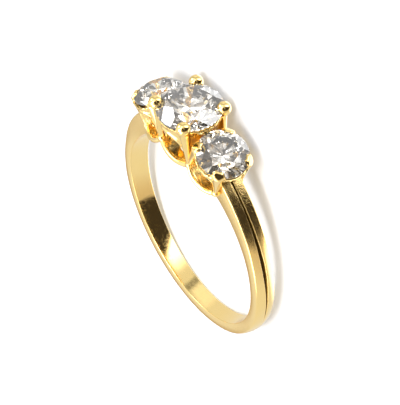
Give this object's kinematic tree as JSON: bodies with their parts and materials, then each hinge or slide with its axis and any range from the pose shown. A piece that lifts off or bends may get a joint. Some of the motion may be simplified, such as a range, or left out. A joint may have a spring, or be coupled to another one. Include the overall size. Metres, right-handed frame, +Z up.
{
  "type": "three stone ring",
  "caption": "Slim gold finger ring with round brilliant cut stones in a row, each held by ball tipped claws on an arched collar, and a band with grooved shoulders.",
  "frame": {"origin": "on the table, under the middle of the ring's box as it lies on its side", "axes": "+Z up through the finger hole, +Y from the back of the band to the middle stone, +X along the row of stones"},
  "size_m": [0.0192, 0.0236, 0.0053],
  "materials": {
    "gold": "polished 18 carat yellow gold",
    "diamond": "polished facets, colourless"
  },
  "bodies": {
    "root": {"gold_ring": "gold", "centre_stone": "diamond", "left_stone": "diamond", "right_stone": "diamond"}
  },
  "joints": []
}
